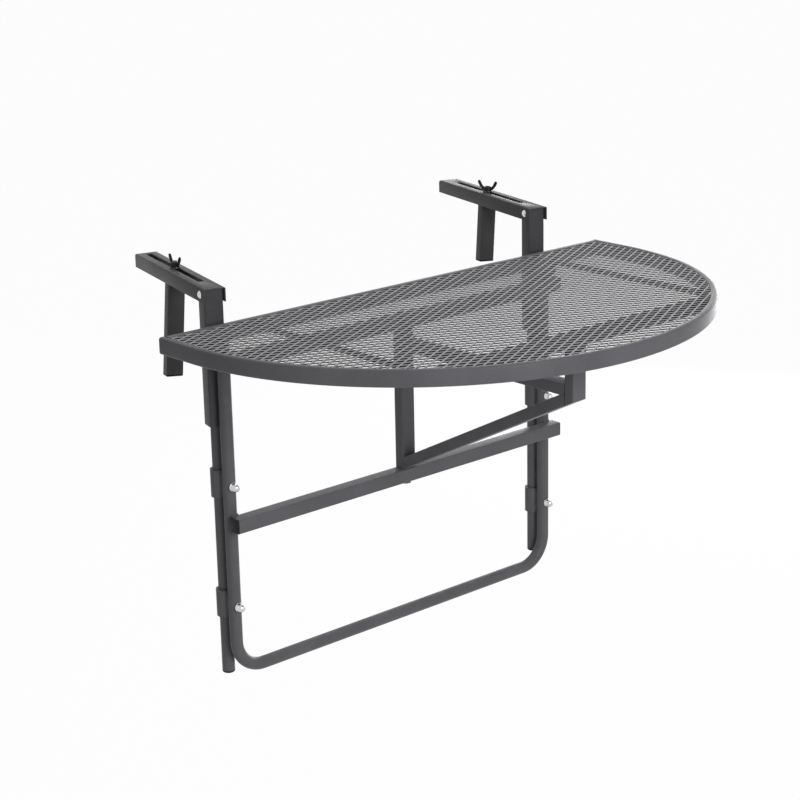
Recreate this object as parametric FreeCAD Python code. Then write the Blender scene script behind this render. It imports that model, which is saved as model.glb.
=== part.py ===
import FreeCAD, Part
import math
import os

# Balcony railing bar table: a half-round mesh tabletop on a tube frame that hangs from a railing
# on two adjustable hooks, propped by a swinging triangular bracket.
# Millimetres. X runs along the railing, Y points over the railing, away from the user, Z is up.
# The origin lies midway between the hooks, on the line where the railing's near side meets
# the backs of the hook posts, level with the underside of the right hook's arm.

Vector = FreeCAD.Vector
across = Vector(1, 0, 0)
back = Vector(0, 1, 0)
up = Vector(0, 0, 1)

# Clearances
slide_clearance = 0.3
running_clearance = 0.1
pivot_gap = 0.5
rest_gap = 0.3

# Tabletop
table_width = 1000.0
table_depth = 555.0
table_side = 74.5
table_drop = 53.0
table_back_gap = 1.6
rim_height = 28.0
rim_thickness = 12.0
rim_wall = 1.5
rim_cap = 1.5
mesh_thickness = 2.0
mesh_recess = 1.0
mesh_long_pitch = 84.6
mesh_short_pitch = 44.7
mesh_strand = 7.0
mesh_border = 5.0
mesh_least_gap = 86.0
depth_bar_spacing = 657.0
depth_bar_width = 10.0
depth_bar_height = 8.0
front_bar_depth = 25.0
front_bar_height = 20.0
front_bar_setback = 118.0

# Frame
frame_tube = 22.0
frame_wall = 2.0
leg_spacing = 738.0
frame_drop = 616.0
frame_bend = 55.0
leg_top_drop = 14.0
leg_cap = 3.0
leg_cap_stem = 9.0
crossbar_size = 25.0
crossbar_wall = 1.5
crossbar_cap = 2.0
crossbar_cap_stem = 6.0
upper_crossbar_drop = 50.4
lower_crossbar_drop = 331.0

# Sleeves behind the legs, and the screws that clamp the hooks in them
sleeve_wall = 4.0
sleeve_height = 48.0
upper_sleeve_drop = 281.0
lower_sleeve_drop = 495.0
screw_radius = 4.0
screw_head_radius = 7.5
screw_head_length = 12.0
screw_washer_radius = 8.0
screw_washer_thickness = 1.5

# Tabletop hinge
hinge_drop = 72.0
strap_width = 16.0
strap_thickness = 4.0
strap_clearance = 0.4
hinge_bolt_radius = 4.0
hinge_head_radius = 7.0
hinge_head_height = 4.0

# Swinging bracket
bracket_width = 30.0
bracket_depth = 20.0
bracket_wall = 1.5
bracket_reach = 432.5
bracket_bar_drop = 93.0
bracket_plug = 12.0
pivot_radius = 5.0
pivot_head_radius = 9.0
pivot_head_height = 4.0
strut_slope = 27.2

# Hooks
hook_tube = 22.0
hook_tube_wall = 2.0
hook_tube_drop = 654.0
hook_tube_cap = 4.0
hook_tube_cap_round = 3.0
hook_tube_stem = 12.0
post_width = 33.0
post_depth = 28.0
post_wall = 2.0
post_length = 210.0
post_plate = 3.0
left_arm_length = 318.0
right_arm_length = 347.0
arm_height = 24.0
arm_wall = 2.0
arm_overhang = 5.5
arm_bolt_radius = 4.0
arm_bolt_head_radius = 6.5
arm_bolt_head_height = 3.5
slot_width = 10.5
slot_start = 42.0
slot_end = 277.0
left_hook_lift = 29.6
hook_swivel = 14.0

# Jaws
jaw_width = 30.0
jaw_depth = 20.0
jaw_wall = 2.0
left_jaw_length = 162.0
right_jaw_length = 110.0
left_jaw_reach = 154.0
right_jaw_reach = 167.0
left_jaw_lean = 4.5
right_jaw_lean = 3.5
jaw_plug = 3.0
jaw_plug_stem = 9.0
jaw_bolt_radius = 4.0
jaw_bolt_head_radius = 7.5
jaw_bolt_head_height = 3.0
jaw_bolt_rise = 13.0
washer_radius = 9.0
washer_thickness = 1.6
wing_nut_radius = 8.5
wing_nut_top_radius = 7.0
wing_nut_height = 8.0
wing_span = 43.0
wing_rise = 21.5
wing_thickness = 4.5
wing_tip = 6.5
wing_corner = 2.0
wing_root = 3.0
wing_root_height = 7.2
left_wing_turn = 5.0
right_wing_turn = 28.0

# Places that follow from the sizes
tube_y = -post_depth / 2
tube_radius = hook_tube / 2
leg_radius = frame_tube / 2
sleeve_bore = tube_radius + slide_clearance
sleeve_radius = sleeve_bore + sleeve_wall
leg_y = tube_y - sleeve_radius - leg_radius
crossbar_back = leg_y - leg_radius
crossbar_y = crossbar_back - crossbar_size / 2
table_back = crossbar_back - table_back_gap
table_top = -table_drop
rim_bottom = table_top - rim_height
leg_x = leg_spacing / 2
leg_top = table_top - leg_top_drop
crossbar_length = leg_spacing + frame_tube
half_width = table_width / 2
side_front = table_back - table_side
arc_depth = table_depth - table_side
upper_crossbar_top = table_top - upper_crossbar_drop
lower_crossbar_top = table_top - lower_crossbar_drop
front_bar_front = table_back - table_depth + front_bar_setback
bracket_front = table_back - bracket_reach
hinge_z = table_top - hinge_drop
pivot_length = crossbar_size + pivot_gap + bracket_plug
left_seat = table_top + left_hook_lift
right_seat = 0.0

parts = {}


def box(low, high):
    """Box between two opposite corners."""
    size = [high[i] - low[i] for i in range(3)]
    return Part.makeBox(size[0], size[1], size[2], Vector(*low))


def rod(radius, length, start, direction):
    """Round bar from a start point along a direction."""
    return Part.makeCylinder(radius, length, Vector(*start), direction)


def square_tube(low, high, wall, axis):
    """Rectangular tube that is open at both ends of one axis."""
    inner_low = [low[i] - (1 if i == axis else -wall) for i in range(3)]
    inner_high = [high[i] + (1 if i == axis else -wall) for i in range(3)]
    return box(low, high).cut(box(inner_low, inner_high))


def group(solids):
    """Several separate solids that share one node."""
    return Part.makeCompound([solid for shape in solids for solid in shape.Solids])


def mirrored(shape):
    """The same shape on the other side of the table's middle."""
    return shape.mirror(Vector(0, 0, 0), across)


def half_disc(across_radius, front_radius, height, bottom):
    """Half of an elliptical plate in front of the straight sides."""
    centre = Vector(0, side_front, bottom)
    side_tip = centre + across * across_radius
    front_tip = centre + back * front_radius
    if across_radius >= front_radius:
        curve = Part.Ellipse(side_tip, front_tip, centre)
    else:
        curve = Part.Ellipse(front_tip, side_tip, centre)
    disc = Part.Face(Part.Wire(curve.toShape())).extrude(up * height)
    front_half = box(
        (-2 * across_radius, side_front - 2 * front_radius, bottom - 1),
        (2 * across_radius, side_front, bottom + height + 1),
    )
    return disc.common(front_half)


def d_plate(inset, bottom, height, back_edge):
    """Plate with the tabletop's outline, drawn in by an inset at its sides and front."""
    straight = box(
        (-half_width + inset, side_front, bottom),
        (half_width - inset, back_edge, bottom + height),
    )
    rounded = half_disc(half_width - inset, arc_depth - inset, height, bottom)
    return straight.fuse(rounded).removeSplitter()


def make_rim():
    """Hollow rim tube, open at its two back ends."""
    cap_face = table_back - rim_cap
    outer = d_plate(0, rim_bottom, rim_height, cap_face)
    inner = d_plate(rim_thickness, rim_bottom - 1, rim_height + 2, cap_face + 1)
    void_height = rim_height - 2 * rim_wall
    void_bottom = rim_bottom + rim_wall
    void = d_plate(rim_wall, void_bottom, void_height, cap_face + 1)
    core = d_plate(rim_thickness - rim_wall, void_bottom, void_height, cap_face + 2)
    parts["rim_tube"] = outer.cut(inner).cut(void.cut(core))
    cap = box(
        (half_width - rim_thickness, cap_face, rim_bottom),
        (half_width, table_back, table_top),
    )
    parts["rim_end_caps"] = group([cap, mirrored(cap)])


def make_table_bars():
    """Back rail, front bar and the two thin bars under the mesh."""
    inner_x = half_width - rim_thickness
    parts["back_rail"] = square_tube(
        (-inner_x, table_back - rim_thickness, rim_bottom),
        (inner_x, table_back, table_top),
        rim_wall,
        0,
    )
    inside_rim = d_plate(rim_thickness, rim_bottom, rim_height, table_back - rim_thickness)
    front_bar = square_tube(
        (-inner_x, front_bar_front, rim_bottom),
        (inner_x, front_bar_front + front_bar_depth, rim_bottom + front_bar_height),
        rim_wall,
        0,
    )
    parts["front_bar"] = front_bar.common(inside_rim)
    bar_top = table_top - mesh_recess - mesh_thickness
    bar_x = depth_bar_spacing / 2
    bar = box(
        (bar_x - depth_bar_width / 2, table_back - table_depth, bar_top - depth_bar_height),
        (bar_x + depth_bar_width / 2, table_back, bar_top),
    )
    front_block = box(
        (-inner_x, front_bar_front, rim_bottom),
        (inner_x, front_bar_front + front_bar_depth, rim_bottom + front_bar_height),
    )
    bar = bar.common(inside_rim).cut(front_block)
    bar = max(bar.Solids, key=lambda solid: solid.Volume)
    parts["right_depth_bar"] = bar
    parts["left_depth_bar"] = mirrored(bar)


def make_mesh():
    """Mesh sheet inside the rim: one plate with rows of diamond gaps."""
    bottom = table_top - mesh_recess - mesh_thickness
    mesh_back = table_back - rim_thickness
    sheet = d_plate(rim_thickness, bottom, mesh_thickness, mesh_back)
    gap_region = d_plate(
        rim_thickness + mesh_border,
        bottom - 1,
        mesh_thickness + 2,
        mesh_back - mesh_border,
    )
    half_long = mesh_long_pitch / 2
    half_short = mesh_short_pitch / 2
    slant = math.hypot(half_long, half_short)
    long_reach = half_long - mesh_strand / 2 * slant / half_short
    short_reach = half_short - mesh_strand / 2 * slant / half_long
    columns = int(half_width / half_long) + 1
    rows = int(table_depth / half_short) + 1
    gap_depth = mesh_thickness + 1
    gaps = []
    for row in range(rows):
        for column in range(-columns, columns + 1):
            if (row + column) % 2:
                continue
            x = column * half_long
            y = mesh_back - row * half_short
            corners = [(long_reach, 0), (0, short_reach), (-long_reach, 0), (0, -short_reach)]
            points = [Vector(x + dx, y + dy, bottom - 0.5) for dx, dy in corners]
            outline = Part.makePolygon(points + points[:1])
            gaps.append(Part.Face(outline).extrude(up * gap_depth))
    gaps = Part.makeCompound(gaps).common(gap_region)
    kept = [solid for solid in gaps.Solids if solid.Volume > mesh_least_gap * gap_depth]
    print("gaps in the mesh sheet", len(kept))
    parts["mesh_sheet"] = sheet.cut(Part.makeCompound(kept))


def frame_path(start_z):
    """Centre line of the bent frame tube, from one leg's top to the other's."""
    low = table_top - frame_drop
    corner = frame_bend * (1 - math.sqrt(0.5))
    left_bend = Part.Arc(
        Vector(-leg_x, leg_y, low + frame_bend),
        Vector(-leg_x + corner, leg_y, low + corner),
        Vector(-leg_x + frame_bend, leg_y, low),
    )
    right_bend = Part.Arc(
        Vector(leg_x - frame_bend, leg_y, low),
        Vector(leg_x - corner, leg_y, low + corner),
        Vector(leg_x, leg_y, low + frame_bend),
    )
    curves = [
        Part.LineSegment(Vector(-leg_x, leg_y, start_z), left_bend.StartPoint),
        left_bend,
        Part.LineSegment(left_bend.EndPoint, right_bend.StartPoint),
        right_bend,
        Part.LineSegment(right_bend.EndPoint, Vector(leg_x, leg_y, start_z)),
    ]
    return Part.Wire([curve.toShape() for curve in curves])


def pipe(path, radius, start):
    """Round bar along a path that starts downwards."""
    section = Part.Wire(Part.Circle(start, up, radius).toShape())
    return path.makePipeShell([section], True, False)


def screw_line(shape, height):
    """Cut the holes of one clamp screw in the frame tube."""
    for side in (-1, 1):
        hole = rod(
            screw_radius + running_clearance,
            frame_tube + 2,
            (side * leg_x, crossbar_back - 1, height),
            back,
        )
        shape = shape.cut(hole)
    return shape


def make_frame():
    """Bent frame tube with its end caps, and the two crossbars with theirs."""
    tube_top = leg_top - leg_cap
    start = Vector(-leg_x, leg_y, tube_top)
    outer = pipe(frame_path(tube_top), leg_radius, start)
    longer = Vector(-leg_x, leg_y, leg_top)
    inner = pipe(frame_path(leg_top), leg_radius - frame_wall, longer)
    frame = outer.cut(inner)
    for drop in (upper_sleeve_drop, lower_sleeve_drop):
        frame = screw_line(frame, table_top - drop)
    hinge_start = (-leg_x - leg_radius, leg_y, hinge_z)
    hinge_hole = rod(hinge_bolt_radius, leg_spacing + frame_tube, hinge_start, across)
    parts["frame_tube"] = frame.cut(hinge_hole)
    plug_radius = leg_radius - frame_wall
    cap = rod(leg_radius, leg_cap, (leg_x, leg_y, tube_top), up)
    plug = rod(plug_radius, leg_cap_stem, (leg_x, leg_y, tube_top - leg_cap_stem), up)
    cap = cap.fuse(plug).removeSplitter()
    parts["frame_end_caps"] = group([cap, mirrored(cap)])
    caps = []
    for name, top in (("upper_crossbar", upper_crossbar_top), ("lower_crossbar", lower_crossbar_top)):
        end_x = crossbar_length / 2
        low = (-end_x + crossbar_cap, crossbar_back - crossbar_size, top - crossbar_size)
        high = (end_x - crossbar_cap, crossbar_back, top)
        bar = square_tube(low, high, crossbar_wall, 0)
        pin_hole = rod(pivot_radius, crossbar_size + 2, (0, crossbar_y, top - crossbar_size - 1), up)
        parts[name] = bar.cut(pin_hole)
        cap = box((end_x - crossbar_cap, low[1], low[2]), (end_x, high[1], high[2]))
        stem_start = end_x - crossbar_cap - crossbar_cap_stem
        stem_low = (stem_start, low[1] + crossbar_wall, low[2] + crossbar_wall)
        stem_high = (end_x - crossbar_cap, high[1] - crossbar_wall, high[2] - crossbar_wall)
        cap = cap.fuse(box(stem_low, stem_high)).removeSplitter()
        caps += [cap, mirrored(cap)]
    parts["crossbar_end_caps"] = group(caps)


def make_sleeves():
    """Four sleeves welded behind the legs, each with its clamp screw."""
    for level, drop in (("upper", upper_sleeve_drop), ("lower", lower_sleeve_drop)):
        middle = table_top - drop
        for name, side in (("left", -1), ("right", 1)):
            x = side * leg_x
            bottom = middle - sleeve_height / 2
            sleeve = rod(sleeve_radius, sleeve_height, (x, tube_y, bottom), up)
            bore = rod(sleeve_bore, sleeve_height + 2, (x, tube_y, bottom - 1), up)
            tap_start = (x, tube_y - sleeve_radius - 1, middle)
            tap = rod(screw_radius + running_clearance, sleeve_radius, tap_start, back)
            parts[name + "_" + level + "_sleeve"] = sleeve.cut(bore).cut(tap)
            parts[name + "_" + level + "_clamp_screw"] = clamp_screw(x, middle)


def clamp_screw(x, z):
    """Clamp screw with a domed head, from the front of a leg to the hook tube behind it."""
    washer_front = crossbar_back - rest_gap - screw_washer_thickness
    dome_y = washer_front - screw_head_length + screw_head_radius
    tip = tube_y - tube_radius - rest_gap
    shank = rod(screw_radius, tip - dome_y, (x, dome_y, z), back)
    washer = rod(screw_washer_radius, screw_washer_thickness, (x, washer_front, z), back)
    dome = Part.makeSphere(screw_head_radius, Vector(x, dome_y, z))
    body = rod(screw_head_radius, washer_front - dome_y, (x, dome_y, z), back)
    return body.fuse([dome, washer, shank]).removeSplitter()


def make_hinges():
    """Straps that carry the back rail on bolts through the frame's legs."""
    inner_x = leg_x + leg_radius + strap_clearance
    radius = strap_width / 2
    rail_y = table_back - rim_thickness / 2
    rail_z = table_top - rim_height / 2
    low = Vector(inner_x, leg_y, hinge_z)
    high = Vector(inner_x, rail_y, rail_z)
    along = high - low
    along.normalize()
    sideways = along.cross(across) * radius
    corners = [low + sideways, high + sideways, high - sideways, low - sideways]
    outline = Part.makePolygon(corners + corners[:1])
    strap = Part.Face(outline).extrude(across * strap_thickness)
    for centre in (low, high):
        strap = strap.fuse(Part.makeCylinder(radius, strap_thickness, centre, across))
    over_rail_bottom = box(
        (inner_x - 1, table_back - rim_thickness - strap_width, rim_bottom),
        (inner_x + strap_thickness + 1, leg_y + strap_width, table_top),
    )
    strap = strap.cut(over_rail_bottom).removeSplitter()
    bore_radius = hinge_bolt_radius + running_clearance
    bore = rod(bore_radius, strap_thickness + 2, (inner_x - 1, leg_y, hinge_z), across)
    strap = strap.cut(bore)
    parts["right_hinge_strap"] = strap
    parts["left_hinge_strap"] = mirrored(strap)
    head_x = inner_x + strap_thickness + rest_gap
    nut_x = leg_x - leg_radius - hinge_head_height
    shank = rod(hinge_bolt_radius, head_x - nut_x, (nut_x, leg_y, hinge_z), across)
    head = rod(hinge_head_radius, hinge_head_height, (head_x, leg_y, hinge_z), across)
    nut = rod(hinge_head_radius, hinge_head_height, (nut_x, leg_y, hinge_z), across)
    bolt = shank.fuse([head, nut]).removeSplitter()
    parts["hinge_bolts"] = group([bolt, mirrored(bolt)])


def sloped_prism(profile, half):
    """Solid bar with a profile of (y, z) points, centred on the table's middle."""
    points = [Vector(-half, y, z) for y, z in profile]
    return Part.Face(Part.makePolygon(points + points[:1])).extrude(across * 2 * half)


def make_bracket():
    """Triangular bracket that swings on pins between the crossbars."""
    half = bracket_width / 2
    leg_front = crossbar_y - bracket_depth / 2
    leg_back = crossbar_y + bracket_depth / 2
    leg_low = lower_crossbar_top + pivot_gap
    leg_high = upper_crossbar_top - crossbar_size - pivot_gap
    parts["bracket_leg"] = square_tube(
        (-half, leg_front, leg_low),
        (half, leg_back, leg_high),
        bracket_wall,
        2,
    )
    bar_top = table_top - bracket_bar_drop
    post_back = bracket_front + bracket_depth
    bar_low = (-half, post_back, bar_top - bracket_depth)
    bar_high = (half, leg_front, bar_top)
    parts["bracket_top_bar"] = square_tube(bar_low, bar_high, bracket_wall, 1)
    slope = math.radians(strut_slope)
    rise = math.tan(slope)
    thick = bracket_depth / math.cos(slope)
    wall = bracket_wall / math.cos(slope)

    def strut_line(y, offset):
        return (y, leg_low + offset + (leg_front - y) * rise)

    outer = [
        strut_line(leg_front, 0),
        strut_line(post_back, 0),
        strut_line(post_back, thick),
        strut_line(leg_front, thick),
    ]
    far = 2 * bracket_depth
    void = [
        strut_line(leg_front + far, wall),
        strut_line(post_back - far, wall),
        strut_line(post_back - far, thick - wall),
        strut_line(leg_front + far, thick - wall),
    ]
    strut = sloped_prism(outer, half).cut(sloped_prism(void, half - bracket_wall))
    parts["bracket_strut"] = strut.cut(box(bar_low, bar_high))
    post_top = rim_bottom - rest_gap
    cap_low = post_top - bracket_wall
    post = [
        (bracket_front, cap_low),
        (post_back, cap_low),
        strut_line(post_back, 0),
        strut_line(bracket_front, 0),
    ]
    post_void = [
        (bracket_front + bracket_wall, cap_low + 1),
        (post_back - bracket_wall, cap_low + 1),
        (post_back - bracket_wall, leg_low),
        (bracket_front + bracket_wall, leg_low),
    ]
    post = sloped_prism(post, half).cut(sloped_prism(post_void, half - bracket_wall))
    parts["bracket_front_post"] = post
    top_cap = box((-half, bracket_front, cap_low), (half, post_back, post_top))
    plugs = []
    for low in (leg_low, leg_high - bracket_plug):
        plug = box(
            (-half + bracket_wall, leg_front + bracket_wall, low),
            (half - bracket_wall, leg_back - bracket_wall, low + bracket_plug),
        )
        pin_bore = rod(pivot_radius + running_clearance, bracket_plug + 2, (0, crossbar_y, low - 1), up)
        plugs.append(plug.cut(pin_bore))
    parts["bracket_bushes"] = group(plugs)
    parts["bracket_rest_cap"] = top_cap
    low_head = lower_crossbar_top - crossbar_size - pivot_head_height
    low_pin = rod(pivot_radius, pivot_length + pivot_head_height, (0, crossbar_y, low_head), up)
    low_pin = low_pin.fuse(rod(pivot_head_radius, pivot_head_height, (0, crossbar_y, low_head), up))
    high_start = upper_crossbar_top + pivot_head_height
    down = up * -1
    high_pin = rod(pivot_radius, pivot_length + pivot_head_height, (0, crossbar_y, high_start), down)
    high_pin = high_pin.fuse(rod(pivot_head_radius, pivot_head_height, (0, crossbar_y, high_start), down))
    parts["bracket_pivot_pins"] = group([low_pin.removeSplitter(), high_pin.removeSplitter()])


def hook_arm(length):
    """Slotted channel, open below, that reaches over the railing. Seat at z = 0, tube axis at y = 0."""
    inner_half = post_width / 2 + slide_clearance
    outer_half = inner_half + arm_wall
    front = -post_depth / 2 - arm_overhang
    rear = front + length
    arm = box((-outer_half, front, 0), (outer_half, rear, arm_height))
    arm = arm.cut(box((-inner_half, front - 1, -1), (inner_half, rear - arm_wall, arm_height - arm_wall)))
    slot = box((-slot_width / 2, slot_start, 0), (slot_width / 2, slot_end, arm_height + 1))
    for y in (slot_start, slot_end):
        slot = slot.fuse(rod(slot_width / 2, arm_height + 1, (0, y, 0), up))
    bolt_hole = rod(arm_bolt_radius, 2 * outer_half + 2, (-outer_half - 1, 0, arm_height / 2), across)
    return arm.cut(slot).cut(bolt_hole)


def hook_post():
    """Rectangular post under the arm's front end."""
    low = (-post_width / 2, -post_depth / 2, -post_length)
    high = (post_width / 2, post_depth / 2, arm_height - arm_wall)
    post = square_tube(low, high, post_wall, 2)
    return post.cut(rod(arm_bolt_radius, post_width + 2, (-post_width / 2 - 1, 0, arm_height / 2), across))


def hook_plates():
    """Foot plate that guides the tube in the post, and the plate that rests on the tube's top."""
    inner_x = post_width / 2 - post_wall
    inner_y = post_depth / 2 - post_wall
    foot = box((-inner_x, -inner_y, -post_length), (inner_x, inner_y, -post_length + post_plate))
    foot = foot.cut(rod(sleeve_bore, post_plate + 2, (0, 0, -post_length - 1), up))
    thrust = box((-inner_x, -inner_y, -post_plate), (inner_x, inner_y, 0))
    return group([foot, thrust])


def hook_round_tube():
    """Round tube that slides in the frame's sleeves."""
    top = -post_plate - rest_gap
    bottom = -hook_tube_drop + hook_tube_cap
    tube = rod(tube_radius, top - bottom, (0, 0, bottom), up)
    return tube.cut(rod(tube_radius - hook_tube_wall, top - bottom + 2, (0, 0, bottom - 1), up))


def hook_tube_end():
    """Domed cap at the foot of the round tube."""
    bottom = -hook_tube_drop
    cap = rod(tube_radius, hook_tube_cap, (0, 0, bottom), up)
    middle = bottom + hook_tube_cap / 2
    rim = [edge for edge in cap.Edges if len(edge.Vertexes) == 1 and edge.BoundBox.ZMax < middle]
    cap = cap.makeFillet(hook_tube_cap_round, rim)
    plug = rod(tube_radius - hook_tube_wall, hook_tube_stem, (0, 0, bottom + hook_tube_cap), up)
    return cap.fuse(plug).removeSplitter()


def hook_bolt():
    """Bolt through the arm's walls and the post, with a domed head and a nut."""
    outer_half = post_width / 2 + slide_clearance + arm_wall
    z = arm_height / 2
    shank = rod(arm_bolt_radius, 2 * outer_half, (-outer_half, 0, z), across)
    ball_radius = (arm_bolt_head_radius ** 2 + arm_bolt_head_height ** 2) / (2 * arm_bolt_head_height)
    ball_x = outer_half + arm_bolt_head_height - ball_radius
    ball = Part.makeSphere(ball_radius, Vector(ball_x, 0, z))
    outside_arm = box(
        (outer_half, -ball_radius, z - ball_radius),
        (outer_half + ball_radius, ball_radius, z + ball_radius),
    )
    head = ball.common(outside_arm)
    return shank.fuse([head, mirrored(head)]).removeSplitter()


def leaning(shape, reach, lean):
    """The shape turned sideways under the arm, within the jaw's play in the channel."""
    shape.rotate(Vector(0, reach, arm_height - arm_wall), back, lean)
    return shape


def jaw_drop(lean):
    """Depth of a jaw's top inside the channel at which its high corner just clears."""
    return rest_gap + jaw_width / 2 * math.sin(math.radians(lean))


def jaw_tube(reach, length, lean):
    """Rectangular jaw that hangs in the arm's channel, with a closed top for its bolt."""
    top = arm_height - arm_wall - jaw_drop(lean)
    low = (-jaw_width / 2, reach - jaw_depth / 2, -length + jaw_plug)
    high = (jaw_width / 2, reach + jaw_depth / 2, top)
    jaw = box(low, high)
    inner_low = (low[0] + jaw_wall, low[1] + jaw_wall, low[2] - 1)
    inner_high = (high[0] - jaw_wall, high[1] - jaw_wall, top - jaw_plug)
    jaw = leaning(jaw.cut(box(inner_low, inner_high)), reach, lean)
    return jaw.cut(rod(jaw_bolt_radius, 3 * jaw_plug, (0, reach, top - 2 * jaw_plug), up))


def jaw_end(reach, length, lean):
    """Plug in the jaw's open foot."""
    low = (-jaw_width / 2, reach - jaw_depth / 2, -length)
    high = (jaw_width / 2, reach + jaw_depth / 2, -length + jaw_plug)
    stem_low = (low[0] + jaw_wall, low[1] + jaw_wall, high[2])
    stem_high = (high[0] - jaw_wall, high[1] - jaw_wall, high[2] + jaw_plug_stem)
    plug = box(low, high).fuse(box(stem_low, stem_high)).removeSplitter()
    return leaning(plug, reach, lean)


def jaw_bolt(reach, lean):
    """Carriage bolt from inside the jaw up through the slot, upright in a leaning jaw."""
    slant = math.radians(lean)
    plate_bottom = arm_height - arm_wall - (jaw_drop(lean) + jaw_plug) / math.cos(slant)
    head_top = plate_bottom - jaw_bolt_head_radius * math.tan(slant)
    head = rod(jaw_bolt_head_radius, jaw_bolt_head_height, (0, reach, head_top - jaw_bolt_head_height), up)
    shank = rod(jaw_bolt_radius, arm_height + jaw_bolt_rise - head_top, (0, reach, head_top), up)
    return head.fuse(shank).removeSplitter()


def jaw_washer(reach):
    """Washer on top of the slot."""
    z = arm_height + rest_gap
    washer = rod(washer_radius, washer_thickness, (0, reach, z), up)
    return washer.cut(rod(jaw_bolt_radius, washer_thickness + 2, (0, reach, z - 1), up))


def wing_nut(reach, turn):
    """Wing nut with two raised wings, turned from the arm's line as it was left."""
    z = arm_height + rest_gap + washer_thickness + rest_gap
    body = Part.makeCone(wing_nut_radius, wing_nut_top_radius, wing_nut_height, Vector(0, reach, z), up)
    half_span = wing_span / 2
    wing_profile = [
        (wing_root, 0),
        (wing_nut_radius, 0),
        (half_span - wing_corner, wing_rise / 2),
        (half_span, wing_rise - wing_corner),
        (half_span - wing_tip / 2, wing_rise),
        (half_span - wing_tip, wing_rise - wing_corner),
        (wing_root, wing_root_height),
    ]
    wings = []
    for side in (-1, 1):
        points = [Vector(-wing_thickness / 2, reach + side * y, z + rise) for y, rise in wing_profile]
        wing = Part.Face(Part.makePolygon(points + points[:1])).extrude(across * wing_thickness)
        wings.append(wing)
    nut = body.fuse(wings).removeSplitter()
    bore_radius = jaw_bolt_radius + running_clearance
    nut = nut.cut(rod(bore_radius, wing_rise + 2, (0, reach, z - 1), up))
    nut.rotate(Vector(0, reach, 0), up, turn)
    return nut


def make_hook(name, x, seat, arm_length, reach, jaw_length, jaw_lean, wing_turn):
    """One hook: tube, post, arm and jaw, swivelled about its tube and set at its own height."""
    pieces = {
        "hook_tube": hook_round_tube(),
        "tube_end_cap": hook_tube_end(),
        "post": hook_post(),
        "post_plates": hook_plates(),
        "arm": hook_arm(arm_length),
        "arm_bolt": hook_bolt(),
        "jaw": jaw_tube(reach, jaw_length, jaw_lean),
        "jaw_plug": jaw_end(reach, jaw_length, jaw_lean),
        "jaw_bolt": jaw_bolt(reach, jaw_lean),
        "jaw_washer": jaw_washer(reach),
        "wing_nut": wing_nut(reach, wing_turn),
    }
    for piece, shape in pieces.items():
        shape.rotate(Vector(0, 0, 0), up, -hook_swivel)
        shape.translate(Vector(x, tube_y, seat))
        parts[name + "_" + piece] = shape


def main():
    """Make every piece and write one file for each."""
    make_rim()
    make_table_bars()
    make_mesh()
    make_frame()
    make_sleeves()
    make_hinges()
    make_bracket()
    left_jaw = (left_jaw_reach, left_jaw_length, left_jaw_lean, left_wing_turn)
    right_jaw = (right_jaw_reach, right_jaw_length, right_jaw_lean, right_wing_turn)
    make_hook("left", -leg_x, left_seat, left_arm_length, *left_jaw)
    make_hook("right", leg_x, right_seat, right_arm_length, *right_jaw)
    os.makedirs("parts", exist_ok=True)
    for name, shape in parts.items():
        shape.exportStep("parts/" + name + ".step")
    print(len(parts), "nodes")


main()
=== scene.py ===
import math

import bmesh
import bpy
from mathutils import Matrix, Vector


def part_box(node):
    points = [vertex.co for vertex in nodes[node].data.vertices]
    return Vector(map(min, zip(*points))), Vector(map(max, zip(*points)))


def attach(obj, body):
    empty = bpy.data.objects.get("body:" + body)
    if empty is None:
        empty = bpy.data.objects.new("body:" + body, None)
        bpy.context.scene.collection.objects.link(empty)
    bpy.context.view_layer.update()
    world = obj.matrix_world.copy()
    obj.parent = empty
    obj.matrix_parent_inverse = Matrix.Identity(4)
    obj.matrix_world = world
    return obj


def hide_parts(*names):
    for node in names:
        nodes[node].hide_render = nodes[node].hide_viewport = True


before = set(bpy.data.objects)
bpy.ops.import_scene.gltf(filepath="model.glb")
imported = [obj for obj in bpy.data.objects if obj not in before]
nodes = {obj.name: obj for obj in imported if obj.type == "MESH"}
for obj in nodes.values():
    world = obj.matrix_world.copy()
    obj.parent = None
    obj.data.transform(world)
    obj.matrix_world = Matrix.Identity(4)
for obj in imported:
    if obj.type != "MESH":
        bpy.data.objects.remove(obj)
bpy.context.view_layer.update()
print("frame loaded,", len(nodes), "nodes")

sides = {"left": -1, "right": 1}
levels = ("upper", "lower")
nearby = 1e-5  # metres within which two places count as the same
mergeWithin = 1e-6  # metres within which points are merged
edgeShare = 0.99  # share of its length that an edge runs along its axis
faceShare = 0.9  # share of its normal with which a face looks along an axis
softEdge = {"width": 0.0004, "steps": 2, "angle": 40}
copyFlat = 1  # degrees within which a copied node's triangles are merged to one face


# selecting and shaping

def selectOnly(piece=None):
    if bpy.context.mode != "OBJECT":
        bpy.ops.object.mode_set(mode="OBJECT")
    bpy.ops.object.select_all(action="DESELECT")
    if piece:
        piece.select_set(True)
        bpy.context.view_layer.objects.active = piece


def openPiece(piece, kind="FACE"):
    selectOnly(piece)
    bpy.ops.object.mode_set(mode="EDIT")
    bpy.ops.mesh.select_mode(type=kind)
    bpy.ops.mesh.select_all(action="DESELECT")


def openWhole(piece, kind="FACE"):
    openPiece(piece, kind)
    bpy.ops.mesh.select_all(action="SELECT")


def closePiece():
    bpy.ops.object.mode_set(mode="OBJECT")


def pick(piece, kind, test):
    cage = bmesh.from_edit_mesh(piece.data)
    found = {"VERT": cage.verts, "EDGE": cage.edges, "FACE": cage.faces}[kind]
    for item in found:
        if test(item):
            item.select_set(True)
    cage.select_flush_mode()
    bmesh.update_edit_mesh(piece.data)


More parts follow.
